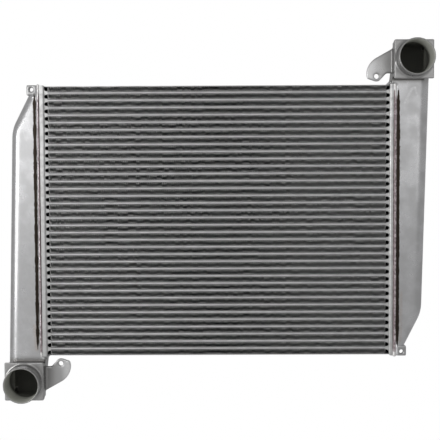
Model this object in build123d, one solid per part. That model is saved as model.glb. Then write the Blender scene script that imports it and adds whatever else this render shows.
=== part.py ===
from build123d import *
from math import acos, atan2, cos, hypot, radians, sin
import os

# Air-to-air charge cooler for a heavy road vehicle.
# A brazed core of flat tubes and fins lies between two pressed header pans, and a hollow
# cast tank is welded over each pan. Both tanks are the same casting: the left one is the
# right one turned half a turn about Y, so one hose port is high and the other is low.
#
# Frame: +X to the right as seen from the front, +Y to the back, +Z up. The origin is
# midway between the two ear holes, on the plane of the ears' rear faces, which is the
# middle of the core's width and height. Every size is in millimetres.

# ---- core -------------------------------------------------------------------------
TUBE_COUNT = 36
TUBE_HEIGHT = 6.4
TUBE_DEPTH = 50.8
TUBE_WALL = 1.0
TUBE_BEVEL = 1.7        # bevel along the edges of a tube's front and back
TUBE_CHANNELS = 3
TUBE_REACH = 2.0        # end of a tube past the inner face of its header
FIN_HEIGHT = 11.8
FIN_SETBACK = 1.2       # fins behind the tubes' front and back
FIN_END_GAP = 0.5       # from the end of a fin strip to the header collars
STRIPS_PER_BANK = 3     # fin strips that share one node
SIDE_PLATE = 1.5
CORE_MID_Y = 16.0       # middle of the core's depth, behind the ears' rear faces

# ---- header pans ------------------------------------------------------------------
HEADER_SPAN = 852.0     # between the tube sides of the two headers
HEADER_WALL = 3.0
HEADER_FLANGE = 12.5    # height of the turned edge, which the tank is welded to
HEADER_LEDGE = 6.1      # header ahead of and behind the tubes
HEADER_BEND = 4.5
HEADER_MARGIN = 2.0     # header end beyond the side plate
COLLAR_HEIGHT = 8.0
COLLAR_TIP = 0.9        # wall of a collar at its tip
COLLAR_VALLEY = 0.8     # flat left between the roots of two collars
FLARE_STEPS = 3         # flat facets that turn a collar's root out into the pan

# ---- cast tanks -------------------------------------------------------------------
TANK_WALL = 4.5
TANK_SWELL = 1.5        # tank ahead of and behind the header
TANK_FOOT = 6.0         # foot next to the weld, only as deep as the header
TANK_NOSE = 25.0        # radius of the outer edges, front and back
TANK_TOP_WIDTH = 89.0   # joint plane to the outer edge, at the port
TANK_LOW_WIDTH = 71.5   # the same at the shoulder
NECK_WIDTH = 29.5       # the same at the end of the body
SHOULDER_RISE = 107.0   # end of the header up to where the outer edge starts to slope
SHOULDER_RADIUS = 90.0
END_COVER = 13.0        # width of the cover over the last tubes, beside the lug
OPENING_STEP = 1.5      # from the header's inner end to the end of the tank's opening

SPIGOT_DIAMETER = 88.9
SPIGOT_WALL = 3.7
SPIGOT_LENGTH = 36.0
BLOCK_SIDE = 3.8        # block beyond the spigot, left and right
BLOCK_BELOW = 6.0       # block beyond the spigot on the side towards the core
BLOCK_ABOVE = 1.0       # the same on the side away from it
BLOCK_RISE = 8.5        # lower edge of the block's front above the end of the header
BLOCK_FRONT = 60.0      # front face of the block ahead of the core's middle
BLOCK_LENGTH = 44.0
BLOCK_DRAFT = 3.0       # how far the inner side leans away towards the back
BLOCK_UNDERCUT = 10.5   # how far the underside rises towards the back
BLOCK_CORNER = 1.5
HOUSING_RISE = 1.0      # underside of the rear housing above the end of the header
HOUSING_DROP = 3.0      # top of the rear housing below the top of the block
HOUSING_STEP = 1.0      # foot of the housing's inner side beyond the block's
HOUSING_LEAN = 10.0     # top of the housing's inner side short of the block's

EAR_THICKNESS = 10.0
EAR_HOLE = 12.9
EAR_BOSS = 12.6         # outer radius around the hole
EAR_REACH = 37.2        # hole to the side of the block
EAR_LIFT = 10.3         # hole above that lower edge
EAR_HEEL = 24.5         # hole to the far edge of the ear
EAR_HEEL_RISE = 4.0     # from the hole up to where the heel's curve ends
EAR_HEEL_DROP = 5.5     # from the hole down to the corner under the heel
EAR_HEEL_TUCK = 2.0     # that corner in from the far edge
EAR_BEND = 1.0          # hole to the bend of the crest, outwards
EAR_CREST = 45.5        # hole to the bend of the crest, upwards
EAR_CREST_RISE = 27.0   # from that bend up to the root of the crest
EAR_NOTCH = 24.0        # hole to the corner of the notch, towards the block
EAR_NOTCH_RISE = 7.5    # from the hole up to that corner

LUG_SIZE = 24.0
LUG_THICKNESS = 12.0
LUG_HOLE = 10.6
LUG_HOLE_DROP = 13.3    # hole below the end of the body
LUG_OFFSET = 6.0        # lug's inner side beyond the joint plane
LUG_FRONT = 36.0        # front face of the lug ahead of the core's middle

WEB_REACH = 6.0         # tip of the corner web, past the core side of the header
WEB_RISE = 9.0          # top of the corner web above the end of the header

BEAD_LAP = 1.0          # weld bead over the edge of the header; it fills the tank's foot
BEAD_HEIGHT = 2.6
BEAD_BEVEL = 1.6

OVERLAP = 1.0           # how far a shape runs into what it is fused to or cut from

# ---- places worked out from the sizes above ---------------------------------------
PITCH = TUBE_HEIGHT + FIN_HEIGHT
STRIP_COUNT = TUBE_COUNT + 1
CORE_HALF = (TUBE_COUNT * TUBE_HEIGHT + STRIP_COUNT * FIN_HEIGHT) / 2
PLATE_TOP = CORE_HALF + SIDE_PLATE
FIN_DEPTH = TUBE_DEPTH - 2 * FIN_SETBACK
HEADER_DEPTH = TUBE_DEPTH + 2 * HEADER_LEDGE
HEADER_HALF = PLATE_TOP + HEADER_MARGIN
HEADER_X = HEADER_SPAN / 2
JOINT_X = HEADER_X + HEADER_FLANGE
TUBE_HALF = HEADER_X + HEADER_WALL + TUBE_REACH
FIN_HALF = HEADER_X - COLLAR_HEIGHT - FIN_END_GAP
TANK_DEPTH = HEADER_DEPTH + 2 * TANK_SWELL
TANK_TOP_X = JOINT_X + TANK_TOP_WIDTH
INNER_FRONT = CORE_MID_Y - TANK_DEPTH / 2 + TANK_WALL
OPENING_HALF = HEADER_HALF - HEADER_WALL - OPENING_STEP
SHOULDER_Z = SHOULDER_RISE - HEADER_HALF
NECK_Z = LUG_SIZE - HEADER_HALF
BLOCK_LOW = HEADER_HALF + BLOCK_RISE
BLOCK_TOP = BLOCK_LOW + BLOCK_BELOW + SPIGOT_DIAMETER + BLOCK_ABOVE
BLOCK_IN_X = TANK_TOP_X - SPIGOT_DIAMETER - 2 * BLOCK_SIDE
BLOCK_Y = CORE_MID_Y - BLOCK_FRONT
HOUSING_LOW = HEADER_HALF + HOUSING_RISE
HOUSING_TOP = BLOCK_TOP - HOUSING_DROP
SPIGOT_BORE = SPIGOT_DIAMETER - 2 * SPIGOT_WALL
SPIGOT_Y = BLOCK_Y - SPIGOT_LENGTH
PORT_X = (BLOCK_IN_X + TANK_TOP_X) / 2
PORT_Z = BLOCK_LOW + BLOCK_BELOW + SPIGOT_DIAMETER / 2
EAR_X = BLOCK_IN_X - EAR_REACH
EAR_Z = BLOCK_LOW + EAR_LIFT
LUG_X = JOINT_X + LUG_OFFSET + LUG_SIZE / 2
LUG_Y = CORE_MID_Y - LUG_FRONT
LUG_HOLE_Z = NECK_Z - LUG_HOLE_DROP


def slab(x, y, z):
    """Block between two corners, each given as a (low, high) pair."""
    size = [high - low for low, high in (x, y, z)]
    middle = [(high + low) / 2 for low, high in (x, y, z)]
    return Pos(*middle) * Box(*size)


def outline(*points):
    """Flat face in the XZ plane with straight sides through the given (X, Z) points."""
    return Plane.XZ * make_face(Polyline(*points, close=True))


def thicken(face, depth):
    """Solid of a face in the XZ plane, centred on the middle of the core's depth."""
    return Pos(0, CORE_MID_Y, 0) * extrude(face, depth / 2, both=True)


def touch_point(corner, centre, radius, side):
    """Where a straight edge from a corner touches a circle, on its left (+1) or right (-1)."""
    across, up = corner[0] - centre[0], corner[1] - centre[1]
    angle = atan2(up, across) + side * acos(radius / hypot(across, up))
    return (centre[0] + radius * cos(angle), centre[1] + radius * sin(angle))


def tube_z(number):
    """Height of a tube's middle; tube 0 is the lowest."""
    return (number - (TUBE_COUNT - 1) / 2) * PITCH


def strip_z(number):
    """Height of a fin strip's middle; strip 0 lies below tube 0."""
    return (number - (STRIP_COUNT - 1) / 2) * PITCH


# ---- flat tubes -------------------------------------------------------------------
def tube_section():
    """Outer section of a tube in the YZ plane, with bevelled front and back."""
    section = Rectangle(TUBE_DEPTH, TUBE_HEIGHT)
    return Plane.YZ * chamfer(section.vertices(), TUBE_BEVEL)


def tube():
    """One extruded tube at Z = 0, with straight channels from end to end."""
    body = extrude(tube_section(), TUBE_HALF, both=True)
    clear = TUBE_DEPTH - 2 * (TUBE_BEVEL + TUBE_WALL)
    width = (clear - (TUBE_CHANNELS - 1) * TUBE_WALL) / TUBE_CHANNELS
    channel = Box(2 * TUBE_HALF, width, TUBE_HEIGHT - 2 * TUBE_WALL)
    for number in range(TUBE_CHANNELS):
        offset = (number - (TUBE_CHANNELS - 1) / 2) * (width + TUBE_WALL)
        body -= Pos(0, offset, 0) * channel
    return Pos(0, CORE_MID_Y, 0) * body


# ---- fins and side plates ---------------------------------------------------------
def fin_strip():
    """Envelope of one folded fin strip at Z = 0, filling the space between two tubes."""
    return Pos(0, CORE_MID_Y, 0) * Box(2 * FIN_HALF, FIN_DEPTH, FIN_HEIGHT)


def side_plate(side):
    """Sheet that closes the core above (+1) or below (-1) its last fin strip."""
    height = side * (CORE_HALF + SIDE_PLATE / 2)
    return Pos(0, CORE_MID_Y, height) * Box(2 * HEADER_X, TUBE_DEPTH, SIDE_PLATE)


# ---- header pan -------------------------------------------------------------------
def mirrored_face(plane, upper):
    """Face in a plane through the origin, from its upper outline and the mirror of that."""
    lower = [(across, -up) for across, up in reversed(upper)]
    return plane * make_face(Polyline(*upper, *lower, close=True))


def collar():
    """Collar around one tube: flared above and below, and a little tapered front and back."""
    tip_x = HEADER_X - COLLAR_HEIGHT
    tip_y = TUBE_DEPTH / 2 + COLLAR_TIP
    tip_z = TUBE_HEIGHT / 2 + COLLAR_TIP
    root_y = HEADER_DEPTH / 2 - HEADER_BEND
    root_z = (PITCH - COLLAR_VALLEY) / 2
    radius = root_z - tip_z
    turns = [radians(90 * step / FLARE_STEPS) for step in range(FLARE_STEPS + 1)]
    flare = [(HEADER_X - radius * (1 - cos(turn)), root_z - radius * sin(turn)) for turn in turns]
    high = extrude(mirrored_face(Plane.XZ, flare + [(tip_x, tip_z)]), HEADER_DEPTH, both=True)
    deep = extrude(mirrored_face(Plane.XY, [(HEADER_X, root_y), (tip_x, tip_y)]), PITCH, both=True)
    return high & deep


def header():
    """Right-hand header: a pan with a tapered collar and a slot for every tube."""
    half = HEADER_DEPTH / 2
    pan = slab((HEADER_X, JOINT_X), (-half, half), (-HEADER_HALF, HEADER_HALF))
    pan = fillet(pan.faces().sort_by(Axis.X)[0].edges(), HEADER_BEND)
    inner = half - HEADER_WALL
    inner_z = HEADER_HALF - HEADER_WALL
    pan -= slab((HEADER_X + HEADER_WALL, JOINT_X + OVERLAP), (-inner, inner), (-inner_z, inner_z))

    slot = Pos(HEADER_X, 0, 0) * extrude(tube_section(), 2 * COLLAR_HEIGHT, both=True)
    heights = [tube_z(number) for number in range(TUBE_COUNT)]
    pan += [Pos(0, 0, height) * collar() for height in heights]
    pan -= [Pos(0, 0, height) * slot for height in heights]
    return Pos(0, CORE_MID_Y, 0) * pan


# ---- cast tank --------------------------------------------------------------------
def tank_profile(inset):
    """Front view of the tank without its foot, drawn inset from the outside.

    The outer edge runs straight down from the port, turns at the shoulder and slopes
    in to a narrow neck above the lug.
    """
    face = outline(
        (JOINT_X, NECK_Z),
        (JOINT_X + NECK_WIDTH, NECK_Z),
        (JOINT_X + TANK_LOW_WIDTH, SHOULDER_Z),
        (TANK_TOP_X, HOUSING_TOP),
        (BLOCK_IN_X + HOUSING_LEAN, HOUSING_TOP),
        (BLOCK_IN_X - HOUSING_STEP, HOUSING_LOW),
        (JOINT_X, HOUSING_LOW),
    )
    shoulder = face.vertices().sort_by_distance((JOINT_X + TANK_LOW_WIDTH, 0, SHOULDER_Z))[0]
    face = fillet(shoulder, SHOULDER_RADIUS)
    return offset(face, -inset, kind=Kind.INTERSECTION) if inset else face


def round_nose(solid, radius):
    """Round the outer edges, front and back, and the back of the rear housing."""
    outer = solid.edges().filter_by(Axis.Y, reverse=True).filter_by(
        lambda edge: edge.center().X > JOINT_X + NECK_WIDTH - TANK_WALL
        and edge.center().Z < HOUSING_TOP - 2 * TANK_WALL
    )
    back = solid.faces().sort_by(Axis.Y)[-1].edges().filter_by(
        lambda edge: edge.center().Z > HOUSING_LOW + 2 * TANK_WALL
    )
    return fillet(outer + (back - outer), radius)


def tank_shell():
    """Outside of the casting from the foot to the rear of the port."""
    cover = outline(
        (JOINT_X, -HEADER_HALF),
        (JOINT_X + END_COVER, -HEADER_HALF),
        (JOINT_X + END_COVER, NECK_Z),
        (JOINT_X, NECK_Z),
    )
    body = round_nose(thicken(tank_profile(0), TANK_DEPTH), TANK_NOSE)
    body += thicken(cover, HEADER_DEPTH)
    for side in (-1, 1):
        middle = CORE_MID_Y + side * (HEADER_DEPTH + TANK_SWELL) / 2
        body -= slab(
            (JOINT_X - OVERLAP, JOINT_X + TANK_FOOT),
            (middle - TANK_SWELL / 2, middle + TANK_SWELL / 2),
            (-HEADER_HALF, HEADER_HALF),
        )
    return body


def tank_cavity():
    """Air space of the casting, open towards the header."""
    inner_depth = TANK_DEPTH - 2 * TANK_WALL
    cover_x = JOINT_X + END_COVER - TANK_WALL
    opening = outline(
        (JOINT_X - OVERLAP, -OPENING_HALF),
        (cover_x, -OPENING_HALF),
        (cover_x, OPENING_HALF),
        (JOINT_X - OVERLAP, OPENING_HALF),
    )
    chamber = round_nose(thicken(tank_profile(TANK_WALL), inner_depth), TANK_NOSE - TANK_WALL)
    return chamber + thicken(opening, inner_depth)


def port_block():
    """Square block that carries the spigot and narrows towards the tank."""
    rear_y = BLOCK_Y + BLOCK_LENGTH
    plan = Plane.XY * make_face(Polyline(
        (BLOCK_IN_X, BLOCK_Y),
        (TANK_TOP_X, BLOCK_Y),
        (TANK_TOP_X, rear_y),
        (BLOCK_IN_X + BLOCK_DRAFT, rear_y),
        close=True,
    ))
    side = Plane.YZ * make_face(Polyline(
        (BLOCK_Y, BLOCK_LOW),
        (rear_y, BLOCK_LOW + BLOCK_UNDERCUT),
        (rear_y, HOUSING_TOP),
        (BLOCK_Y, BLOCK_TOP),
        close=True,
    ))
    block = extrude(plan, 2 * BLOCK_TOP) & extrude(side, 2 * TANK_TOP_X)
    ends = block.faces().sort_by(Axis.Y)
    long_edges = block.edges() - ends[0].edges() - ends[-1].edges()
    return fillet(long_edges, BLOCK_CORNER)


def port_cylinder(diameter, y_low, y_high):
    """Round bar on the port's axis between two planes."""
    length = y_high - y_low
    return Pos(PORT_X, y_low + length / 2, PORT_Z) * Rot(90, 0, 0) * Cylinder(diameter / 2, length)


def ear():
    """Hooked ear: a straight crest, a round heel and a boss around the bolt hole."""
    hole = (EAR_X, EAR_Z)
    root_x = BLOCK_IN_X + HOUSING_LEAN
    root_top = (root_x, EAR_Z + EAR_CREST + EAR_CREST_RISE)
    heel_x = EAR_X - EAR_HEEL
    heel_foot = (heel_x + EAR_HEEL_TUCK, EAR_Z - EAR_HEEL_DROP)
    notch = (EAR_X + EAR_NOTCH, EAR_Z + EAR_NOTCH_RISE)
    with BuildSketch(Plane.XZ) as profile:
        with BuildLine():
            crest = Line(root_top, (EAR_X - EAR_BEND, EAR_Z + EAR_CREST))
            heel = TangentArc(crest @ 1, (heel_x, EAR_Z + EAR_HEEL_RISE), tangent=crest % 1)
            Polyline(
                heel @ 1,
                heel_foot,
                touch_point(heel_foot, hole, EAR_BOSS, +1),
                hole,
                touch_point(notch, hole, EAR_BOSS, -1),
                notch,
                (root_x, notch[1]),
                root_top,
            )
        make_face()
        with Locations(hole):
            Circle(EAR_BOSS)
            Circle(EAR_HOLE / 2, mode=Mode.SUBTRACT)
    return extrude(profile.sketch, EAR_THICKNESS)


def lug_block():
    """Square block of the lug, running up a little into the tank's body."""
    return slab(
        (LUG_X - LUG_SIZE / 2, LUG_X + LUG_SIZE / 2),
        (LUG_Y, LUG_Y + LUG_THICKNESS),
        (NECK_Z - LUG_SIZE, NECK_Z + OVERLAP),
    )


def lug():
    """Square lug with one bolt hole, standing a little proud of the tank's front."""
    drill = Cylinder(LUG_HOLE / 2, 2 * LUG_THICKNESS + OVERLAP)
    return lug_block() - Pos(LUG_X, LUG_Y, LUG_HOLE_Z) * Rot(90, 0, 0) * drill


def corner_web():
    """Small sloping web that closes the corner between the core and the port end."""
    top = HEADER_HALF + WEB_RISE
    outer = JOINT_X + 2 * OVERLAP
    face = outline(
        (HEADER_X - WEB_REACH, PLATE_TOP),
        (BLOCK_IN_X, top),
        (outer, top),
        (outer, HEADER_HALF),
        (HEADER_X, HEADER_HALF),
        (HEADER_X, PLATE_TOP),
    )
    return thicken(face, TUBE_DEPTH)


def tank():
    """Right-hand tank with its port at the top."""
    shell = tank_shell() + port_block()
    shell += port_cylinder(SPIGOT_DIAMETER, SPIGOT_Y, BLOCK_Y + OVERLAP)
    shell += ear() + lug() + corner_web()
    shell -= tank_cavity()
    shell -= port_cylinder(SPIGOT_BORE, SPIGOT_Y - OVERLAP, INNER_FRONT + OVERLAP)
    return shell


# ---- weld bead --------------------------------------------------------------------
def weld_bead():
    """Bead over the right-hand joint: down the front, under the end and up the back."""
    half = HEADER_DEPTH / 2
    over = half + BEAD_HEIGHT
    low = JOINT_X - BEAD_LAP
    high = JOINT_X + TANK_FOOT
    bead = slab((low, high), (-over, over), (-HEADER_HALF - BEAD_HEIGHT, HEADER_HALF))
    upright = bead.edges().filter_by(Axis.Z)
    under = bead.faces().sort_by(Axis.Z)[0].edges().filter_by(Axis.Y)
    bead = chamfer(upright + under, BEAD_BEVEL)
    joined = slab(
        (low - OVERLAP, high + OVERLAP),
        (-half, half),
        (-HEADER_HALF, HEADER_HALF + OVERLAP),
    )
    return Pos(0, CORE_MID_Y, 0) * (bead - joined) - lug_block()


def turned(shape):
    """The same piece at the other end of the core: half a turn about Y."""
    return shape.rotate(Axis.Y, 180)


def write(shape, node):
    shape.label = node
    export_step(shape, f"parts/{node}.step")


os.makedirs("parts", exist_ok=True)
for name, piece in (("tank", tank()), ("header", header()), ("weld_bead", weld_bead())):
    write(piece, f"{name}_right")
    write(turned(piece), f"{name}_left")

write(side_plate(+1), "side_plate_top")
write(side_plate(-1), "side_plate_bottom")

one_tube = tube()
for number in range(TUBE_COUNT):
    write(Pos(0, 0, tube_z(number)) * one_tube, f"tube_{number + 1:02d}")

one_strip = fin_strip()
for bank, first in enumerate(range(0, STRIP_COUNT, STRIPS_PER_BANK)):
    numbers = range(first, min(first + STRIPS_PER_BANK, STRIP_COUNT))
    strips = Compound([Pos(0, 0, strip_z(number)) * one_strip for number in numbers])
    write(strips, f"fin_bank_{bank + 1:02d}")
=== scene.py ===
import math
import random

import bpy
import bmesh
from mathutils import Matrix, Vector, noise


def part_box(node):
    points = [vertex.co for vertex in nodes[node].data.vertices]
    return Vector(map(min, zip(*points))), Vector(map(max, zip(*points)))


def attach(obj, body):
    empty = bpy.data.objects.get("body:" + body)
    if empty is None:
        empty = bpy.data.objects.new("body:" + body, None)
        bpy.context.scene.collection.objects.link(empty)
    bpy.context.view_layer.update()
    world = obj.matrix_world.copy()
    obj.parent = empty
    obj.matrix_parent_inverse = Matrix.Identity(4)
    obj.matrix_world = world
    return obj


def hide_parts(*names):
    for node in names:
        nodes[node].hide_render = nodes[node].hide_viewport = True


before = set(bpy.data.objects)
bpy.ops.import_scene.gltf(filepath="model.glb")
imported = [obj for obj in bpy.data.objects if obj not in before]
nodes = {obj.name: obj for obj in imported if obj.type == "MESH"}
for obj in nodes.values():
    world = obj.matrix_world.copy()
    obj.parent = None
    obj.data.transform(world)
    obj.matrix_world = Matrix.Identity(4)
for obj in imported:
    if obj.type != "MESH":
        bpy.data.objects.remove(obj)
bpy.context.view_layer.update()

scene = bpy.context.scene


# ---- Cast tanks ---------------------------------------------------------------------
# The two end tanks are one sand casting in aluminium alloy, used the other way up on the
# left. It is fettled but not machined, so its edges are soft and its skin is grainy; only
# the hose mouth is cut clean. Each tank is welded all round to its header pan.
def reach(name, axis):
    """Lowest and highest place of a CAD node along an axis, to the nearest micrometre."""
    return [round(corner["XYZ".index(axis)], 6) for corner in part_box(name)]


MID_Y = 0.016                   # middle of the depth of the core, the headers and the tanks
TANK_FRONT = -0.017             # front face of the tank's body
TANK_HALF_Y = MID_Y - TANK_FRONT
TANK_SIDE = reach("tank_right", "X")[1]         # outer side of the port end
TANK_NOSE = 0.025               # radius of the outer edges
PORT_FOOT = 0.3455              # underside of the port block, above the core's middle
HOUSING_TOP = 0.4384            # top of the housing behind the port block
HOUSING_IN = 0.3930             # its inner side leans: this far out at the core's middle
HOUSING_SLOPE = 0.1096          # and this much further out for each metre up
LUG_END = 0.3125                # where the lug at the narrow end begins, below the middle
MOUTH_Y = reach("tank_right", "Y")[0]           # plane of the hose mouth
MOUTH_CUT = 0.0004              # how deep its clean cut shows
PORT_BORE = 0.0408              # radius of the hose port
PORT_X = 0.47925                # middle of the hose port on the right-hand tank
PORT_Z = 0.39595
CASTING_WELD = 2e-5             # corners nearer than this are one
CASTING_GRID = 0.0023           # grid that the casting's skin is rebuilt on
CASTING_SOFTENING = 3           # passes that round its edges


def show(name, mesh):
    """Links a mesh, a curve or a camera to the scene under that name."""
    piece = bpy.data.objects.new(name, mesh)
    scene.collection.objects.link(piece)
    return piece


def put(tree, kind, inputs=None, **settings):
    """Adds a shader node; each input takes a value, or a link from another node's output."""
    added = tree.nodes.new("ShaderNode" + kind)
    for name, value in settings.items():
        setattr(added, name, value)
    for name, value in (inputs or {}).items():
        if isinstance(value, bpy.types.NodeSocket):
            tree.links.new(value, added.inputs[name])
        else:
            added.inputs[name].default_value = value
    return added


def combine(tree, operation, first, second=0.0, third=0.0):
    """One Math node."""
    return put(tree, "Math", {0: first, 1: second, 2: third}, operation=operation).outputs[0]


def combine_vectors(tree, operation, first, second=(0, 0, 0), answer=0):
    """One Vector Math node; answer picks its output."""
    return put(tree, "VectorMath", {0: first, 1: second}, operation=operation).outputs[answer]


def ramp(tree, value, low, high):
    """Rises smoothly from 0 at low to 1 at high; low may be the larger."""
    return put(tree, "MapRange", {0: value, 1: low, 2: high}, interpolation_type="SMOOTHSTEP").outputs[0]


def all_of(tree, *masks):
    """Product of several masks: 1 only where each of them is 1."""
    joined = masks[0]
    for mask in masks[1:]:
        joined = combine(tree, "MULTIPLY", joined, mask)
    return joined


def past(tree, value, start):
    """How far a value lies beyond start; 0 before it."""
    return combine(tree, "MAXIMUM", combine(tree, "SUBTRACT", value, start), 0.0)


def blend(tree, factor, first, second):
    """Mix of two colours."""
    mixed = put(tree, "Mix", data_type="RGBA")
    for socket, value in ((mixed.inputs[0], factor), (mixed.inputs[6], first), (mixed.inputs[7], second)):
        if isinstance(value, bpy.types.NodeSocket):
            tree.links.new(value, socket)
        else:
            socket.default_value = value
    return mixed.outputs[2]


def position(tree):
    """X, Y and Z over the piece, in metres from the frame's origin."""
    return put(tree, "SeparateXYZ", {0: put(tree, "TexCoord").outputs["Object"]}).outputs


def new_group(name, inputs, outputs):
    """Empty shader node group; inputs and outputs are (name, kind, default) rows."""
    group = bpy.data.node_groups.new(name, "ShaderNodeTree")
    for label, kind, default in inputs:
        socket = group.interface.new_socket(label, in_out="INPUT", socket_type="NodeSocket" + kind)
        socket.default_value = default
    for label, kind in outputs:
        group.interface.new_socket(label, in_out="OUTPUT", socket_type="NodeSocket" + kind)
    return group, group.nodes.new("NodeGroupInput").outputs, group.nodes.new("NodeGroupOutput").inputs


def cloud(tree, size, detail=3.0, stretch=(1, 1, 1)):
    """Noise over the object's own coordinates, with patches of about that size in metres."""
    place = put(tree, "TexCoord").outputs["Object"]
    if stretch != (1, 1, 1):
        place = put(tree, "Mapping", {0: place, "Scale": stretch}).outputs[0]
    scale = combine(tree, "DIVIDE", 1.0, size)
    return put(tree, "TexNoise", {"Vector": place, "Scale": scale, "Detail": detail}).outputs["Fac"]


# Patchy tone with a finer grain, for every bare aluminium surface.
PATCH_EDGES = (0.35, 0.65)      # noise levels between which one tone gives way to the other
PATCH_RELIEF = 0.4              # height of the patches beside that of the grain
mottle, given, result = new_group(
    "mottle",
    (
        ("Light", "Color", (0.6, 0.6, 0.6, 1)),
        ("Dark", "Color", (0.4, 0.4, 0.4, 1)),
        ("Patch Size", "Float", 0.03),
        ("Grain Size", "Float", 0.002),
        ("Grain Strength", "Float", 0.3),
        ("Smoothest", "Float", 0.3),
        ("Roughest", "Float", 0.5),
    ),
    (("Color", "Color"), ("Roughness", "Float"), ("Height", "Float")),
)
patches = ramp(mottle, cloud(mottle, given["Patch Size"]), *PATCH_EDGES)
grain = cloud(mottle, given["Grain Size"], 2.0)
speck = combine(mottle, "MULTIPLY", combine(mottle, "SUBTRACT", grain, 0.5), given["Grain Strength"])
tone = combine(mottle, "ADD", patches, speck)
mottle.links.new(blend(mottle, tone, given["Dark"], given["Light"]), result["Color"])
rough_range = put(mottle, "MapRange", {0: tone, 3: given["Roughest"], 4: given["Smoothest"]}).outputs[0]
mottle.links.new(rough_range, result["Roughness"])
mottle.links.new(combine(mottle, "MULTIPLY_ADD", patches, PATCH_RELIEF, grain), result["Height"])

# A band along the weld's joint with a ragged edge, for soot and heat stain beside the weld and for painted
# shade along the bead's inner side.
RAG_SIZE = 0.016                # size of the rags along its edge
RAG_STRETCH = (0.3, 1, 1)       # they lie across the band
RAG_SWING = 4.0                 # the noise is weak, so it is made this much stronger
END_TAPER = 0.035               # the band narrows over its last stretch
END_SWING = 0.04                # and stops at an uneven line
END_FADE = 0.012
weld_band, given, result = new_group(
    "weld_band_mask",
    (
        ("Middle", "Float", 0.45),
        ("Lean", "Float", 0.0),
        ("Half Width", "Float", 0.003),
        ("Raggedness", "Float", 0.002),
        ("Softness", "Float", 0.001),
        ("Reach", "Float", 0.325),
    ),
    (("Mask", "Float"),),
)
x, y, along = position(weld_band)
side = combine(weld_band, "SIGN", x)
out = combine(weld_band, "MULTIPLY_ADD", side, given["Lean"], combine(weld_band, "ABSOLUTE", x))
distance = combine(weld_band, "ABSOLUTE", combine(weld_band, "SUBTRACT", out, given["Middle"]))
wander = combine(weld_band, "SUBTRACT", cloud(weld_band, RAG_SIZE, 4.0, RAG_STRETCH), 0.5)
swing = combine(weld_band, "MULTIPLY", given["Raggedness"], RAG_SWING)
distance = combine(weld_band, "MULTIPLY_ADD", wander, swing, distance)
past_end = combine(weld_band, "SUBTRACT", combine(weld_band, "ABSOLUTE", along), given["Reach"])
taper = ramp(weld_band, past_end, 0.0, -END_TAPER)
edge = combine(weld_band, "SUBTRACT", distance, combine(weld_band, "MULTIPLY", given["Half Width"], taper))
edge = combine(weld_band, "DIVIDE", edge, given["Softness"])
ending = ramp(weld_band, combine(weld_band, "MULTIPLY_ADD", wander, END_SWING, past_end), 0.0, -END_FADE)
weld_band.links.new(all_of(weld_band, ramp(weld_band, edge, 1.0, 0.0), ending), result["Mask"])

# A straight mark between two points of the front, with a broken edge; it draws scuffs and a painted
# highlight.
MARK_BREAKS = 0.004            # size of the breaks
MARK_CONTRAST = (1.6, -0.35)   # gain and shift that turn the noise into breaks
scuff_and_highlight, given, result = new_group(
    "scuff_and_highlight",
    (("Start", "Vector", (0, 0, 0)), ("End", "Vector", (0, 0, 0.01)), ("Width", "Float", 0.001)),
    (("Mask", "Float"),),
)
flat = combine_vectors(scuff_and_highlight, "MULTIPLY", put(scuff_and_highlight, "TexCoord").outputs["Object"], (1, 0, 1))
along = combine_vectors(scuff_and_highlight, "SUBTRACT", given["End"], given["Start"])
reached = combine_vectors(scuff_and_highlight, "SUBTRACT", flat, given["Start"])
length = combine_vectors(scuff_and_highlight, "DOT_PRODUCT", along, along, "Value")
share = combine_vectors(scuff_and_highlight, "DOT_PRODUCT", reached, along, "Value")
share = put(scuff_and_highlight, "Math", {0: share, 1: length}, operation="DIVIDE", use_clamp=True).outputs[0]
nearest = put(scuff_and_highlight, "VectorMath", {0: along, "Scale": share}, operation="SCALE").outputs[0]
apart = combine_vectors(scuff_and_highlight, "DISTANCE", reached, nearest, "Value")
broken = combine(scuff_and_highlight, "MULTIPLY_ADD", cloud(scuff_and_highlight, MARK_BREAKS), *MARK_CONTRAST)
scuff_and_highlight.links.new(all_of(scuff_and_highlight, ramp(scuff_and_highlight, apart, given["Width"], 0.0), broken), result["Mask"])


def new_metal(name, light, dark, patch, grain, smoothest, roughest, bump):
    """Bare aluminium with patches and grain; returns the material, its nodes and its shader."""
    material = bpy.data.materials.new(name)
    material.use_nodes = True
    tree = material.node_tree
    shader = tree.nodes["Principled BSDF"]
    shader.inputs["Metallic"].default_value = 1.0
    tones = put(tree, "Group", {
        "Light": (*light, 1),
        "Dark": (*dark, 1),
        "Patch Size": patch,
        "Grain Size": grain,
        "Smoothest": smoothest,
        "Roughest": roughest,
    }, node_tree=mottle)
    tree.links.new(tones.outputs["Color"], shader.inputs["Base Color"])
    tree.links.new(tones.outputs["Roughness"], shader.inputs["Roughness"])
    relief = put(tree, "Bump", {"Height": tones.outputs["Height"], "Distance": bump, "Strength": 1.0})
    tree.links.new(relief.outputs[0], shader.inputs["Normal"])
    return material, tree, shader


def tint(tree, shader, mask, shade, strength=1.0):
    """Turns a metal's colour towards a shade where the mask is 1."""
    if strength < 1:
        mask = combine(tree, "MULTIPLY", mask, strength)
    clean = shader.inputs["Base Color"].links[0].from_socket
    tree.links.new(blend(tree, mask, clean, (*shade, 1)), shader.inputs["Base Color"])


def darken_along_weld(tree, shader, band, shade):
    """Darkens a metal along the weld."""
    tint(tree, shader, put(tree, "Group", band, node_tree=weld_band).outputs["Mask"], shade)
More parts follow.
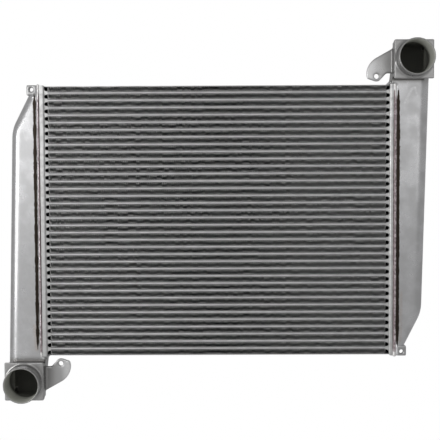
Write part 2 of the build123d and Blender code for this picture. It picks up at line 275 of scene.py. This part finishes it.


# Shades of the casting, most of them painted light and shade. A pair of places is where a shade starts and
# where it is full.
BLOCK_PAINTED_SHADE = (0.43, 0.426, 0.42)
BLOCK_STRENGTH = 0.85
BLOCK_RISE = (PORT_FOOT - 0.012, PORT_FOOT)     # upwards, on the right-hand tank
BLOCK_OUT = (0.364, 0.420)                      # outwards along the ear
EAR_ROOT_PAINTED_SHADE = (0.30, 0.297, 0.293)
EAR_ROOT_OUT = (0.402, 0.432)
EAR_ROOT_END = (0.4360, 0.4335)                 # from the side of the block inwards
EAR_ROOT_DEPTH = (-0.030, -0.026)               # behind the front of the block
EAR_TIP_PAINTED_LIGHT = (0.80, 0.80, 0.80)
EAR_TIP_STRENGTH = 0.9
EAR_TIP_IN = (0.396, 0.372)
EAR_TIP_RISE = (0.330, 0.336)
SPIGOT_PAINTED_SHADE = (0.36, 0.357, 0.352)
SPIGOT_ROUND = (0.054, 0.049)                   # from the port's axis
SPIGOT_DEPTH = (-0.0415, -0.0435)               # ahead of the block
BORE_GREY = (0.53, 0.535, 0.485)
BORE_ROUND = (PORT_BORE + 0.002, PORT_BORE)
BORE_DEPTH = (MOUTH_Y, MOUTH_Y + 0.003)
LEDGE_PAINTED_SHADE = (0.07, 0.07, 0.062)
LEDGE_DEPTH = (TANK_FRONT - 0.020, TANK_FRONT + 0.004)
CHAMBER_PAINTED_SHADE = (0.11, 0.11, 0.096)
CHAMBER_ROUND = (TANK_NOSE - 0.0018, TANK_NOSE - 0.0026)
CHAMBER_TOP = (HOUSING_TOP - 0.0018, HOUSING_TOP - 0.0028)
CHAMBER_FOOT = (PORT_FOOT, PORT_FOOT + 0.006)
CHAMBER_OUT = (0.4430, 0.4450)
INSIDE_DULLNESS = 0.5                           # how much rougher the bore and the chamber are
CREVICE_PAINTED_SHADE = (0.13, 0.125, 0.12)
CREVICE_STRENGTH = 0.9
CREVICE_Z = PORT_FOOT + 0.0035
CREVICE_NEAR = (0.0055, 0.0035)
CREVICE_DEPTH = (TANK_FRONT + 0.003, TANK_FRONT + 0.001)
CREVICE_FRONT = (-0.041, -0.036)
LUG_GREY = (0.46, 0.46, 0.46)
LUG_DROP = (-LUG_END, -LUG_END - 0.003)
LUG_OUT = (0.4465, 0.4500)
FRONT_FACE = (TANK_FRONT + 0.004, TANK_FRONT + 0.001)

# Scuffs on the front, and a streak of painted highlight down the right tank's nose: start, end, width,
# strength and shade of each.
PALE = (0.95, 0.95, 0.96)
RUST = (0.50, 0.36, 0.27)
DUSTY = (0.80, 0.80, 0.79)
SCUFFS_AND_HIGHLIGHTS = (
    ((0.4620, 0, 0.2900), (0.4790, 0, 0.3240), 0.0050, 0.55, PALE),
    ((0.4790, 0, 0.3240), (0.4870, 0, 0.3270), 0.0050, 0.50, PALE),
    ((0.4870, 0, 0.3270), (0.4930, 0, 0.3050), 0.0045, 0.35, PALE),
    ((0.4680, 0, 0.2900), (0.4760, 0, 0.2990), 0.0060, 0.30, PALE),
    ((0.4900, 0, 0.2600), (0.4970, 0, 0.2100), 0.0060, 0.45, PALE),
    # A pale streak of painted highlight down the right tank, by its nose.
    ((0.4985, 0, 0.2000), (0.4965, 0, 0.0500), 0.0080, 0.60, PALE),
    ((0.4600, 0, 0.2440), (0.4990, 0, 0.2380), 0.0025, 0.40, DUSTY),
    ((-0.4620, 0, 0.2700), (-0.4700, 0, 0.2450), 0.0030, 0.40, DUSTY),
    ((-0.4790, 0, 0.2250), (-0.4700, 0, 0.2000), 0.0030, 0.40, DUSTY),
    ((-0.5060, 0, -0.2900), (-0.5050, 0, -0.3380), 0.0050, 0.60, PALE),
    ((-0.4970, 0, -0.3400), (-0.4850, 0, -0.3415), 0.0030, 0.60, PALE),
    ((-0.4560, 0, -0.2600), (-0.4520, 0, -0.3180), 0.0090, 0.60, RUST),
    ((0.4555, 0, -0.1800), (0.4540, 0, -0.3000), 0.0070, 0.40, RUST),
)
SOOT = (0.035, 0.028, 0.022)
SOOT_BAND = {
    "Middle": 0.4479,
    "Lean": 0.0016,
    "Half Width": 0.0034,
    "Raggedness": 0.0012,
    "Softness": 0.0014,
}

cast_skin, tree, shader = new_metal(
    "cast_skin", (0.66, 0.66, 0.67), (0.56, 0.56, 0.565), 0.035, 0.0012, 0.27, 0.33, 0.00008
)
x, y, z = position(tree)
wide = combine(tree, "ABSOLUTE", x)
rise = combine(tree, "MULTIPLY", z, combine(tree, "SIGN", x))
rear = combine(tree, "GREATER_THAN", y, MID_Y)

# Painted shade makes the port end darker than the tank, darkest at the ear's root beside the block;
# painted light makes the ear's tip pale.
block = all_of(tree, ramp(tree, rise, *BLOCK_RISE), ramp(tree, wide, *BLOCK_OUT))
tint(tree, shader, block, BLOCK_PAINTED_SHADE, BLOCK_STRENGTH)
root = all_of(tree, ramp(tree, wide, *EAR_ROOT_OUT), ramp(tree, wide, *EAR_ROOT_END))
root = all_of(tree, root, block, ramp(tree, y, *EAR_ROOT_DEPTH))
tint(tree, shader, root, EAR_ROOT_PAINTED_SHADE)
tip = all_of(tree, ramp(tree, wide, *EAR_TIP_IN), ramp(tree, rise, *EAR_TIP_RISE))
tint(tree, shader, tip, EAR_TIP_PAINTED_LIGHT, EAR_TIP_STRENGTH)

# Within the walls: further in than half the wall from the outer face, whose edges are round.
slope = combine(tree, "MULTIPLY_ADD", rise, HOUSING_SLOPE, HOUSING_IN + TANK_NOSE)
past_slope = combine(tree, "MULTIPLY", combine(tree, "SUBTRACT", slope, wide), rear)
round_x = combine(tree, "MAXIMUM", past(tree, wide, TANK_SIDE - TANK_NOSE), past_slope)
off_middle = combine(tree, "ABSOLUTE", combine(tree, "SUBTRACT", y, MID_Y))
round_y = past(tree, off_middle, TANK_HALF_Y - TANK_NOSE)
round_z = all_of(tree, past(tree, rise, HOUSING_TOP - TANK_NOSE), rear)
corner = put(tree, "CombineXYZ", {0: round_x, 1: round_y, 2: round_z}).outputs[0]
corner = combine_vectors(tree, "LENGTH", corner, answer="Value")
within = all_of(tree, ramp(tree, corner, *CHAMBER_ROUND), ramp(tree, rise, *CHAMBER_TOP))

# The bore is dull and dusty, and painted shade darkens it from the ledge inwards, as it darkens the chamber.
off_axis = put(tree, "CombineXYZ", {
    0: combine(tree, "SUBTRACT", wide, PORT_X),
    2: combine(tree, "SUBTRACT", rise, PORT_Z),
}).outputs[0]
off_axis = combine_vectors(tree, "LENGTH", off_axis, answer="Value")
# Painted shade on the spigot's outer wall and round its base, which damps its highlight.
spigot = all_of(tree, ramp(tree, off_axis, *SPIGOT_ROUND), ramp(tree, y, *SPIGOT_DEPTH))
tint(tree, shader, spigot, SPIGOT_PAINTED_SHADE)
open_way = combine(tree, "MAXIMUM", within, combine(tree, "SUBTRACT", 1.0, rear))
in_bore = all_of(tree, ramp(tree, off_axis, *BORE_ROUND), open_way)
wall = all_of(tree, in_bore, ramp(tree, y, *BORE_DEPTH))
tint(tree, shader, wall, BORE_GREY)
tint(tree, shader, all_of(tree, in_bore, ramp(tree, y, *LEDGE_DEPTH)), LEDGE_PAINTED_SHADE)
inside = all_of(tree, within, ramp(tree, rise, *CHAMBER_FOOT), ramp(tree, wide, *CHAMBER_OUT))
tint(tree, shader, inside, CHAMBER_PAINTED_SHADE)
dull = combine(tree, "MAXIMUM", wall, inside)
tree.links.new(combine(tree, "SUBTRACT", 1.0, dull), shader.inputs["Metallic"])
smooth = shader.inputs["Roughness"].links[0].from_socket
rough = combine(tree, "MULTIPLY_ADD", dull, INSIDE_DULLNESS, smooth)
tree.links.new(rough, shader.inputs["Roughness"])

# Painted shade lies in the crevice along the foot of the block, and the lugs are a darker grey than the
# tank.
off_crevice = combine(tree, "ABSOLUTE", combine(tree, "SUBTRACT", rise, CREVICE_Z))
crevice = all_of(tree, ramp(tree, off_crevice, *CREVICE_NEAR), ramp(tree, y, *CREVICE_DEPTH))
tint(tree, shader, all_of(tree, crevice, ramp(tree, y, *CREVICE_FRONT)), CREVICE_PAINTED_SHADE, CREVICE_STRENGTH)
lug = all_of(tree, ramp(tree, rise, *LUG_DROP), ramp(tree, wide, *LUG_OUT))
tint(tree, shader, lug, LUG_GREY)

# Scuffs from handling, a painted highlight down the right tank's nose, a little rust blown off the weld, and
# soot along it.
for start, end, width, strength, shade in SCUFFS_AND_HIGHLIGHTS:
    mark = put(tree, "Group", {"Start": start, "End": end, "Width": width}, node_tree=scuff_and_highlight).outputs["Mask"]
    tint(tree, shader, all_of(tree, mark, ramp(tree, y, *FRONT_FACE)), shade, strength)
darken_along_weld(tree, shader, SOOT_BAND, SOOT)

clean_cut = new_metal(
    "clean_cut", (0.72, 0.72, 0.72), (0.60, 0.60, 0.60), 0.01, 0.0008, 0.28, 0.40, 0.00002
)[0]

for side in ("right", "left"):
    casting = show("cast_tank_" + side, nodes["tank_" + side].data.copy())
    casting.data.materials.clear()
    casting.data.materials.append(cast_skin)
    casting.data.materials.append(clean_cut)

    skin = bmesh.new()
    skin.from_mesh(casting.data)
    bmesh.ops.remove_doubles(skin, verts=skin.verts, dist=CASTING_WELD)
    skin.to_mesh(casting.data)
    skin.free()

    rebuild = casting.modifiers.new("rebuild", "REMESH")
    rebuild.mode = "VOXEL"
    rebuild.voxel_size = CASTING_GRID
    rebuild.use_smooth_shade = True
    soften = casting.modifiers.new("soften", "SMOOTH")
    soften.factor = 0.5
    soften.iterations = CASTING_SOFTENING
    finished = casting.evaluated_get(bpy.context.evaluated_depsgraph_get())
    rounded = bpy.data.meshes.new_from_object(finished)
    casting.modifiers.clear()
    casting.data = rounded
    for face in rounded.polygons:
        face.material_index = 1 if face.center.y < MOUTH_Y + MOUTH_CUT else 0
    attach(casting, "root")
    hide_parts("tank_" + side)


# ---- Weld beads ---------------------------------------------------------------------
# Each tank is welded to its header by hand: one bead of filler wire down the front, under
# the end and up the back. It is rippled and uneven and sooty along the tank side, carries
# painted shade in the pink of heat tint along its inner side next to the pan, and turns
# bright near its upper and lower ends.
HEADER_FRONT, HEADER_BACK = reach("header_right", "Y")
HEADER_END = reach("header_right", "Z")[1]
BEAD_INNER = {"right": 0.4354, "left": 0.4384}  # edge of the bead on the header
BEAD_OUTER = 0.4446             # edge of the bead on the tank's foot
BEAD_CROWN = 0.0022
BEAD_FULLNESS = 0.6             # 1 is a plain arch; less is flatter on top
BEAD_LUMPS = 0.22               # share by which the crown rises and falls
BEAD_SWAY = 0.0006              # how far its edges wander
BEAD_SHORT = 0.0004             # it stops this far short of the header's upper end
BEAD_STEP = 0.0009              # between sections along the bead
BEAD_SECTION = 9                # points across the bead
BEAD_TURN = 5                   # steps round a corner
BEAD_SEED = 11.3                # one for the right bead, and its negative for the left
BEAD_LEAST = 0.00002            # height of its edges
RIPPLE_PITCH = 0.0034
RIPPLE_HEIGHT = 0.00035
LUMP_RATE = 60                  # lumps and swings for each metre, about
INNER_RATE = 110
OUTER_RATE = 160
SPATTER_COUNT = 70
SPATTER_SEED = 5
SPATTER_SIZE = (0.0004, 0.0011)
SPATTER_GAP = 0.002             # clear of the bead
SPATTER_SPREAD = 0.006
SPATTER_REACH = (-0.30, 0.33)
SPATTER_SHAPE = (1, 0.6, 1.2, 1)
BRIGHT_BEAD_ENDS = ((0.296, 0.312), (-0.322, -0.330))   # heights where the bead turns bright
BRIGHT_END_METAL = (0.95, 0.94, 0.93)
BRIGHT_END_STRENGTH = 0.9
# Painted shade along the bead's inner side next to the pan, in the pink of heat tint.
VALLEY_PAINTED_SHADE = (0.26, 0.21, 0.22)
VALLEY_BAND = {
    "Middle": 0.4377,
    "Lean": 0.0012,
    "Half Width": 0.0014,
    "Raggedness": 0.0006,
    "Softness": 0.0012,
}


def bead_path():
    """Points along the joint with the outward direction at each, front, end and back."""
    front_top = Vector((0, HEADER_FRONT, HEADER_END - BEAD_SHORT))
    front_end = Vector((0, HEADER_FRONT, -HEADER_END))
    back_end = Vector((0, HEADER_BACK, -HEADER_END))
    back_top = Vector((0, HEADER_BACK, HEADER_END - BEAD_SHORT))
    runs = (
        (front_top, front_end, Vector((0, -1, 0))),
        (front_end, back_end, Vector((0, 0, -1))),
        (back_end, back_top, Vector((0, 1, 0))),
    )
    path = []
    for index, (start, end, out) in enumerate(runs):
        count = max(2, round((end - start).length / BEAD_STEP))
        path += [(start.lerp(end, step / count), out) for step in range(count + 1)]
        if index < len(runs) - 1:
            turn = runs[index + 1][2]
            path += [(end, out.slerp(turn, step / BEAD_TURN)) for step in range(1, BEAD_TURN)]
    return path


def bead_section(point, out, inner_edge, travelled, seed):
    """Points of one section across the bead, from the header to the tank."""
    lump = noise.noise(Vector((travelled * LUMP_RATE, seed, 0)))
    inner_sway = noise.noise(Vector((travelled * INNER_RATE, seed, 7)))
    outer_sway = noise.noise(Vector((travelled * OUTER_RATE, seed, 3)))
    inner = inner_edge + BEAD_SWAY * inner_sway
    outer = BEAD_OUTER - BEAD_SWAY + BEAD_SWAY * outer_sway
    section = []
    for number in range(BEAD_SECTION):
        across = number / (BEAD_SECTION - 1)
        arch = 4 * across * (1 - across)
        ripple = math.cos(2 * math.pi * (travelled / RIPPLE_PITCH + 0.5 * (1 - arch)))
        height = BEAD_CROWN * arch ** BEAD_FULLNESS * (1 + BEAD_LUMPS * lump) + RIPPLE_HEIGHT * ripple * arch
        spot = point + out * max(height, BEAD_LEAST)
        section.append(Vector((inner + (outer - inner) * across, spot.y, spot.z)))
    return section


def add_spatter(mesh, rng):
    """Small frozen drops on the tank beside the bead."""
    for _ in range(SPATTER_COUNT):
        size = rng.uniform(*SPATTER_SIZE)
        away = BEAD_OUTER + SPATTER_GAP + abs(rng.gauss(0, SPATTER_SPREAD))
        height = rng.uniform(*SPATTER_REACH)
        place = Matrix.Translation((away, TANK_FRONT, height)) @ Matrix.Diagonal(SPATTER_SHAPE)
        bmesh.ops.create_icosphere(mesh, subdivisions=1, radius=size, matrix=place)


def bead_mesh(name, inner_edge, turn):
    """One bead with its spatter; turn is 1 on the right and -1 on the left."""
    mesh = bmesh.new()
    rings = []
    travelled = 0.0
    path = bead_path()
    for index, (point, out) in enumerate(path):
        travelled += (point - path[index - 1][0]).length if index else 0.0
        section = bead_section(point, out, inner_edge, travelled, BEAD_SEED * turn)
        rings.append([mesh.verts.new(spot) for spot in section])
    for first, second in zip(rings, rings[1:]):
        for number in range(BEAD_SECTION - 1):
            mesh.faces.new((first[number], first[number + 1], second[number + 1], second[number]))
        mesh.faces.new((first[-1], first[0], second[0], second[-1]))
    mesh.faces.new(rings[0])
    mesh.faces.new(list(reversed(rings[-1])))
    add_spatter(mesh, random.Random(SPATTER_SEED + turn))
    bmesh.ops.recalc_face_normals(mesh, faces=mesh.faces)
    for face in mesh.faces:
        face.smooth = True
    if turn < 0:
        bmesh.ops.transform(mesh, matrix=Matrix.Rotation(math.pi, 4, "Y"), verts=mesh.verts)
    data = bpy.data.meshes.new(name)
    mesh.to_mesh(data)
    mesh.free()
    return data


bead_metal, tree, shader = new_metal(
    "bead_metal", (0.72, 0.64, 0.66), (0.34, 0.28, 0.29), 0.008, 0.0007, 0.25, 0.5, 0.00008
)
height = position(tree)[2]
# The bead turns bright near its upper and lower ends.
bright_ends = combine(tree, "MAXIMUM", ramp(tree, height, *BRIGHT_BEAD_ENDS[0]), ramp(tree, height, *BRIGHT_BEAD_ENDS[1]))
tint(tree, shader, bright_ends, BRIGHT_END_METAL, BRIGHT_END_STRENGTH)
darken_along_weld(tree, shader, SOOT_BAND, SOOT)
# Painted shade along the bead's inner side next to the pan.
darken_along_weld(tree, shader, VALLEY_BAND, VALLEY_PAINTED_SHADE)

for side, turn in (("right", 1), ("left", -1)):
    weld = show("weld_" + side, bead_mesh("weld_" + side, BEAD_INNER[side], turn))
    weld.data.materials.append(bead_metal)
    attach(weld, "root")
    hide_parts("weld_bead_" + side)


# ---- Header pans --------------------------------------------------------------------
# Pressed aluminium sheet, bent round its edges, with a collar drawn up around each tube.
# Brazed to the tubes in the furnace, which leaves it pale and even.
PAN_FACE = (0.4268, 0.4260)     # just outside and on the side of the pan towards the core
COLLAR_FRONT = (-0.0100, -0.0070)               # front of the collars, and just behind it
RECESS_PAINTED_SHADE = (0.03, 0.03, 0.03)
TOE_BROWN = (0.12, 0.11, 0.10)
TOE_BAND = {
    "Middle": 0.4369,
    "Lean": 0.0016,
    "Half Width": 0.0004,
    "Raggedness": 0.0004,
    "Softness": 0.0006,
}

pan_sheet, tree, shader = new_metal(
    "pan_sheet", (0.68, 0.68, 0.675), (0.58, 0.58, 0.575), 0.012, 0.001, 0.34, 0.46, 0.00003
)
darken_along_weld(tree, shader, TOE_BAND, TOE_BROWN)
# Painted shade: the recesses between the collars, deep between the tubes, are painted near black and their
# reflections dimmed.
x, y, z = position(tree)
recess = all_of(tree, ramp(tree, combine(tree, "ABSOLUTE", x), *PAN_FACE), ramp(tree, y, *COLLAR_FRONT))
tint(tree, shader, recess, RECESS_PAINTED_SHADE)
dimmed = blend(tree, recess, (1, 1, 1, 1), (*RECESS_PAINTED_SHADE, 1))
tree.links.new(dimmed, shader.inputs["Specular Tint"])
for side in ("right", "left"):
    pan = nodes["header_" + side]
    pan.data.materials.clear()
    pan.data.materials.append(pan_sheet)


# ---- Tubes --------------------------------------------------------------------------
# Extruded flat aluminium tubes with rounded noses and three straight channels. They run
# through both headers, are brazed there, and carry the hot charge air.


def span(name, axis):
    """Size of a CAD node along an axis, to the nearest micrometre."""
    low, high = reach(name, axis)
    return round(high - low, 6)


tubes = sorted(name for name in nodes if name.startswith("tube_"))
TUBE_HEIGHT = span(tubes[0], "Z")
TUBE_DEPTH = span(tubes[0], "Y")
TUBE_HALF = reach(tubes[0], "X")[1]
TUBE_WALL = 0.0010
NOSE_STEPS = 8
TUBE_CREASE = math.radians(40)  # edges sharper than this stay sharp
SIDEWAYS = Matrix(((0, 0, 1, 0), (1, 0, 0, 0), (0, 1, 0, 0), (0, 0, 0, 1)))  # from flat to along X

tube_skin = new_metal(
    "tube_skin", (0.67, 0.67, 0.675), (0.58, 0.58, 0.585), 0.02, 0.0012, 0.46, 0.56, 0.00002
)[0]


def closed_line(curve, points):
    """Adds a closed straight-sided outline to a flat curve."""
    line = curve.splines.new("POLY")
    line.points.add(len(points) - 1)
    for point, (across, up) in zip(line.points, points):
        point.co = (across, up, 0, 1)
    line.use_cyclic_u = True


def tube_mesh(height):
    """Tube with its middle at that height, drawn from its cross-section."""
    section = bpy.data.curves.new("tube_section", "CURVE")
    section.dimensions = "2D"
    section.fill_mode = "BOTH"
    section.extrude = TUBE_HALF
    radius = TUBE_HEIGHT / 2
    straight = TUBE_DEPTH / 2 - radius
    nose = [math.pi * (step / NOSE_STEPS - 0.5) for step in range(NOSE_STEPS + 1)]
    outline = [(straight + radius * math.cos(turn), radius * math.sin(turn)) for turn in nose]
    outline += [(-across, -up) for across, up in outline]
    closed_line(section, outline)
    width = (2 * straight - 2 * TUBE_WALL) / 3
    top = radius - TUBE_WALL
    for number in (-1, 0, 1):
        middle = number * (width + TUBE_WALL)
        left, right = middle - width / 2, middle + width / 2
        closed_line(section, [(left, -top), (left, top), (right, top), (right, -top)])
    holder = show("tube_section", section)
    mesh = bpy.data.meshes.new_from_object(holder.evaluated_get(bpy.context.evaluated_depsgraph_get()))
    bpy.data.objects.remove(holder)
    mesh.transform(Matrix.Translation((0, MID_Y, height)) @ SIDEWAYS)
    mesh.shade_smooth()
    mesh.set_sharp_from_angle(angle=TUBE_CREASE)
    return mesh


for name in tubes:
    low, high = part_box(name)
    tube = show("flat_" + name, tube_mesh((low.z + high.z) / 2))
    tube.data.materials.clear()
    tube.data.materials.append(tube_skin)
    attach(tube, "root")
    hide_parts(name)


# ---- Folded fins --------------------------------------------------------------------
# Thin aluminium strip folded to and fro about every two millimetres and brazed between the
# tubes. Each leg is waved from front to back, which stirs the cooling air.
banks = sorted(name for name in nodes if name.startswith("fin_bank_"))
FIN_HEIGHT = span(banks[-1], "Z")             # the last bank holds a single strip
FIN_DEPTH = span(banks[-1], "Y")
CORE_PITCH = round(TUBE_HEIGHT + FIN_HEIGHT, 6)
FIN_LEG_PITCH = 0.0023
FIN_THICKNESS = 0.00062
FIN_WAVE = 0.0030               # how far the middle of a leg is offset sideways
FIN_STRAIGHT = 0.010            # straight part of a leg at the front and at the back
FIN_CLEARANCE = 0.00005         # between a crest and its tube
FIN_CREASE = math.radians(50)   # edges sharper than this stay sharp
CREST_STEPS = 2
FIN_PAINTED_SHADE = (0.70, 0.695, 0.69)
FIN_PAINTED_SHADE_DEPTH = (FIN_DEPTH / 2 - 0.0003, FIN_DEPTH / 2 - 0.0040)

fin_sheet, tree, shader = new_metal(
    "fin_sheet", (0.97, 0.965, 0.96), (0.92, 0.915, 0.91), 0.03, 0.004, 0.50, 0.60, 0.00002
)
# Painted shade: the strip is painted darker just behind its bright edges, front and back, where it lies
# deeper between the legs.
depth = combine(tree, "ABSOLUTE", combine(tree, "SUBTRACT", position(tree)[1], MID_Y))
tint(tree, shader, ramp(tree, depth, *FIN_PAINTED_SHADE_DEPTH), FIN_PAINTED_SHADE)


def fin_outline(low_x, high_x):
    """The fold seen from the front, from one end of the strip to the other."""
    legs = round((high_x - low_x) / FIN_LEG_PITCH)
    pitch = (high_x - low_x) / legs
    radius = pitch / 2
    top = FIN_HEIGHT / 2 - FIN_CLEARANCE
    points = [(low_x, radius - top)]
    for leg in range(legs):
        middle = low_x + (leg + 0.5) * pitch
        up = 1 if leg % 2 == 0 else -1
        for step in range(CREST_STEPS + 1):
            turn = math.pi * (1 - step / CREST_STEPS)
            points.append((middle + radius * math.cos(turn), up * (top - radius + radius * math.sin(turn))))
    points.append((high_x, -points[-1][1]))
    return points


def fin_mesh(name, heights, low, high):
    """Fin strips at several heights as one mesh, with the thin edges of the sheet."""
    rows = (
        (low.y, 0.0, FIN_THICKNESS),
        (low.y, 0.0, 0.0),
        (low.y + FIN_STRAIGHT, 0.0, 0.0),
        ((low.y + high.y) / 2, FIN_WAVE, 0.0),
        (high.y - FIN_STRAIGHT, 0.0, 0.0),
        (high.y, 0.0, 0.0),
        (high.y, 0.0, FIN_THICKNESS),
    )
    outline = fin_outline(low.x, high.x)
    points = []
    faces = []
    for height in heights:
        start = len(points)
        for index, (across, up) in enumerate(outline):
            before = outline[max(index - 1, 0)]
            after = outline[min(index + 1, len(outline) - 1)]
            length = math.hypot(after[0] - before[0], after[1] - before[1])
            normal = ((after[1] - before[1]) / length, (before[0] - after[0]) / length)
            inward = -1 if up * normal[1] > 0 else 1
            for depth, offset, edge in rows:
                side = edge * inward
                points.append((
                    min(max(across + offset + side * normal[0], low.x), high.x),
                    depth,
                    height + up + side * normal[1],
                ))
        for index in range(len(outline) - 1):
            for row in range(len(rows) - 1):
                corner = start + index * len(rows) + row
                faces.append((corner, corner + 1, corner + len(rows) + 1, corner + len(rows)))
    mesh = bpy.data.meshes.new(name)
    mesh.from_pydata(points, [], faces)
    mesh.shade_smooth()
    mesh.set_sharp_from_angle(angle=FIN_CREASE)
    return mesh


for bank in banks:
    low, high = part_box(bank)
    count = round((high.z - low.z - FIN_HEIGHT) / CORE_PITCH) + 1
    heights = [low.z + FIN_HEIGHT / 2 + number * CORE_PITCH for number in range(count)]
    folds = show(bank.replace("fin_bank", "folded_fins"), fin_mesh(bank + "_folds", heights, low, high))
    folds.data.materials.append(fin_sheet)
    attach(folds, "root")
    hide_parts(bank)


# ---- Side plates --------------------------------------------------------------------
# Thin flat aluminium sheet brazed over the first and last fin strips. It closes the core
# at the top and at the bottom.
plate_sheet = new_metal(
    "plate_sheet", (0.62, 0.62, 0.62), (0.52, 0.52, 0.52), 0.04, 0.0015, 0.32, 0.44, 0.00003
)[0]
for name in ("side_plate_top", "side_plate_bottom"):
    nodes[name].data.materials.clear()
    nodes[name].data.materials.append(plate_sheet)


# ---- Floor, light and camera --------------------------------------------------------
# The cooler hangs in front of a white sweep. A strong soft box at the left shapes the left
# tank, one at the upper left of the front lights the core, and a weak one fills the right.
FLOOR_Z = -0.80
FLOOR_HALF = 9
FLOOR_PAINT = (0.88, 0.88, 0.88, 1)
FLOOR_SHADOW = (0.45, 0.80)     # near the cooler the floor's own shading shows through
SHADOW_WHITE = 0.6              # and this share of it is plain white
WHITE = (1, 1, 1, 1)
ROOM_LIGHT = 0.42


def seen_white(tree):
    """1 for what the camera sees, straight or through glass."""
    ray = put(tree, "LightPath").outputs
    return combine(tree, "MAXIMUM", ray["Is Camera Ray"], ray["Is Transmission Ray"])


floor_mesh = bpy.data.meshes.new("floor")
corners = [(x * FLOOR_HALF, y * FLOOR_HALF, FLOOR_Z) for x, y in ((-1, -1), (1, -1), (1, 1), (-1, 1))]
floor_mesh.from_pydata(corners, [], [(0, 1, 2, 3)])
floor = show("floor", floor_mesh)
white_floor = bpy.data.materials.new("white_floor")
white_floor.use_nodes = True
tree = white_floor.node_tree
tree.nodes.clear()
spot = combine_vectors(tree, "MULTIPLY", put(tree, "TexCoord").outputs["Object"], (1, 1, 0))
away = combine_vectors(tree, "LENGTH", spot, answer="Value")
fading = put(tree, "MapRange", {0: away, 1: FLOOR_SHADOW[0], 2: FLOOR_SHADOW[1], 3: SHADOW_WHITE, 4: 1.0})
mixed = put(tree, "MixShader", {
    0: all_of(tree, seen_white(tree), fading.outputs[0]),
    1: put(tree, "BsdfDiffuse", {"Color": FLOOR_PAINT}).outputs[0],
    2: put(tree, "Emission", {"Color": WHITE, "Strength": 1.0}).outputs[0],
})
tree.links.new(mixed.outputs[0], put(tree, "OutputMaterial").inputs[0])
floor_mesh.materials.append(white_floor)

# White wherever the camera looks, also through glass; a plain grey room for everything
# else, so the metal mirrors grey.
world = bpy.data.worlds.new("room")
world.use_nodes = True
scene.world = world
tree = world.node_tree
tree.nodes.clear()
mixed = put(tree, "MixShader", {
    0: seen_white(tree),
    1: put(tree, "Background", {"Color": WHITE, "Strength": ROOM_LIGHT}).outputs[0],
    2: put(tree, "Background", {"Color": WHITE, "Strength": 1.0}).outputs[0],
})
tree.links.new(mixed.outputs[0], put(tree, "OutputWorld").inputs[0])


def soft_box(name, place, width, height, power):
    """Rectangular lamp aimed at the middle of the core."""
    lamp = bpy.data.lights.new(name, "AREA")
    lamp.shape = "RECTANGLE"
    lamp.size = width
    lamp.size_y = height
    lamp.energy = power
    holder = bpy.data.objects.new(name, lamp)
    scene.collection.objects.link(holder)
    holder.location = place
    holder.rotation_euler = (-Vector(place)).to_track_quat("-Z", "Y").to_euler()
    holder.visible_camera = False


soft_box("side_left", (-2.22, -1.86, 0.15), 1.2, 1.2, 17)
soft_box("front_left", (-0.94, -2.60, 0.80), 1.4, 1.6, 7.6)
soft_box("front_right", (0.96, -2.64, 0.60), 1.4, 1.2, 2.5)

# The camera stands about 2.2 metres in front, a little above the middle.
CAMERA_PLACE = (0.0159, -2.2094, 0.1083)
CAMERA_TURN = math.radians(0.248)
CAMERA_TILT = math.radians(90 - 2.745)
CAMERA_ROLL = math.radians(-0.244)
CAMERA_SENSOR = 36
CAMERA_LENS = 72.53
camera = show("camera", bpy.data.cameras.new("camera"))
camera.data.sensor_width = CAMERA_SENSOR
camera.data.lens = CAMERA_LENS
camera.matrix_world = (
    Matrix.Translation(CAMERA_PLACE)
    @ Matrix.Rotation(CAMERA_TURN, 4, "Z")
    @ Matrix.Rotation(CAMERA_TILT, 4, "X")
    @ Matrix.Rotation(CAMERA_ROLL, 4, "Z")
)
scene.camera = camera
scene.view_settings.view_transform = "Standard"
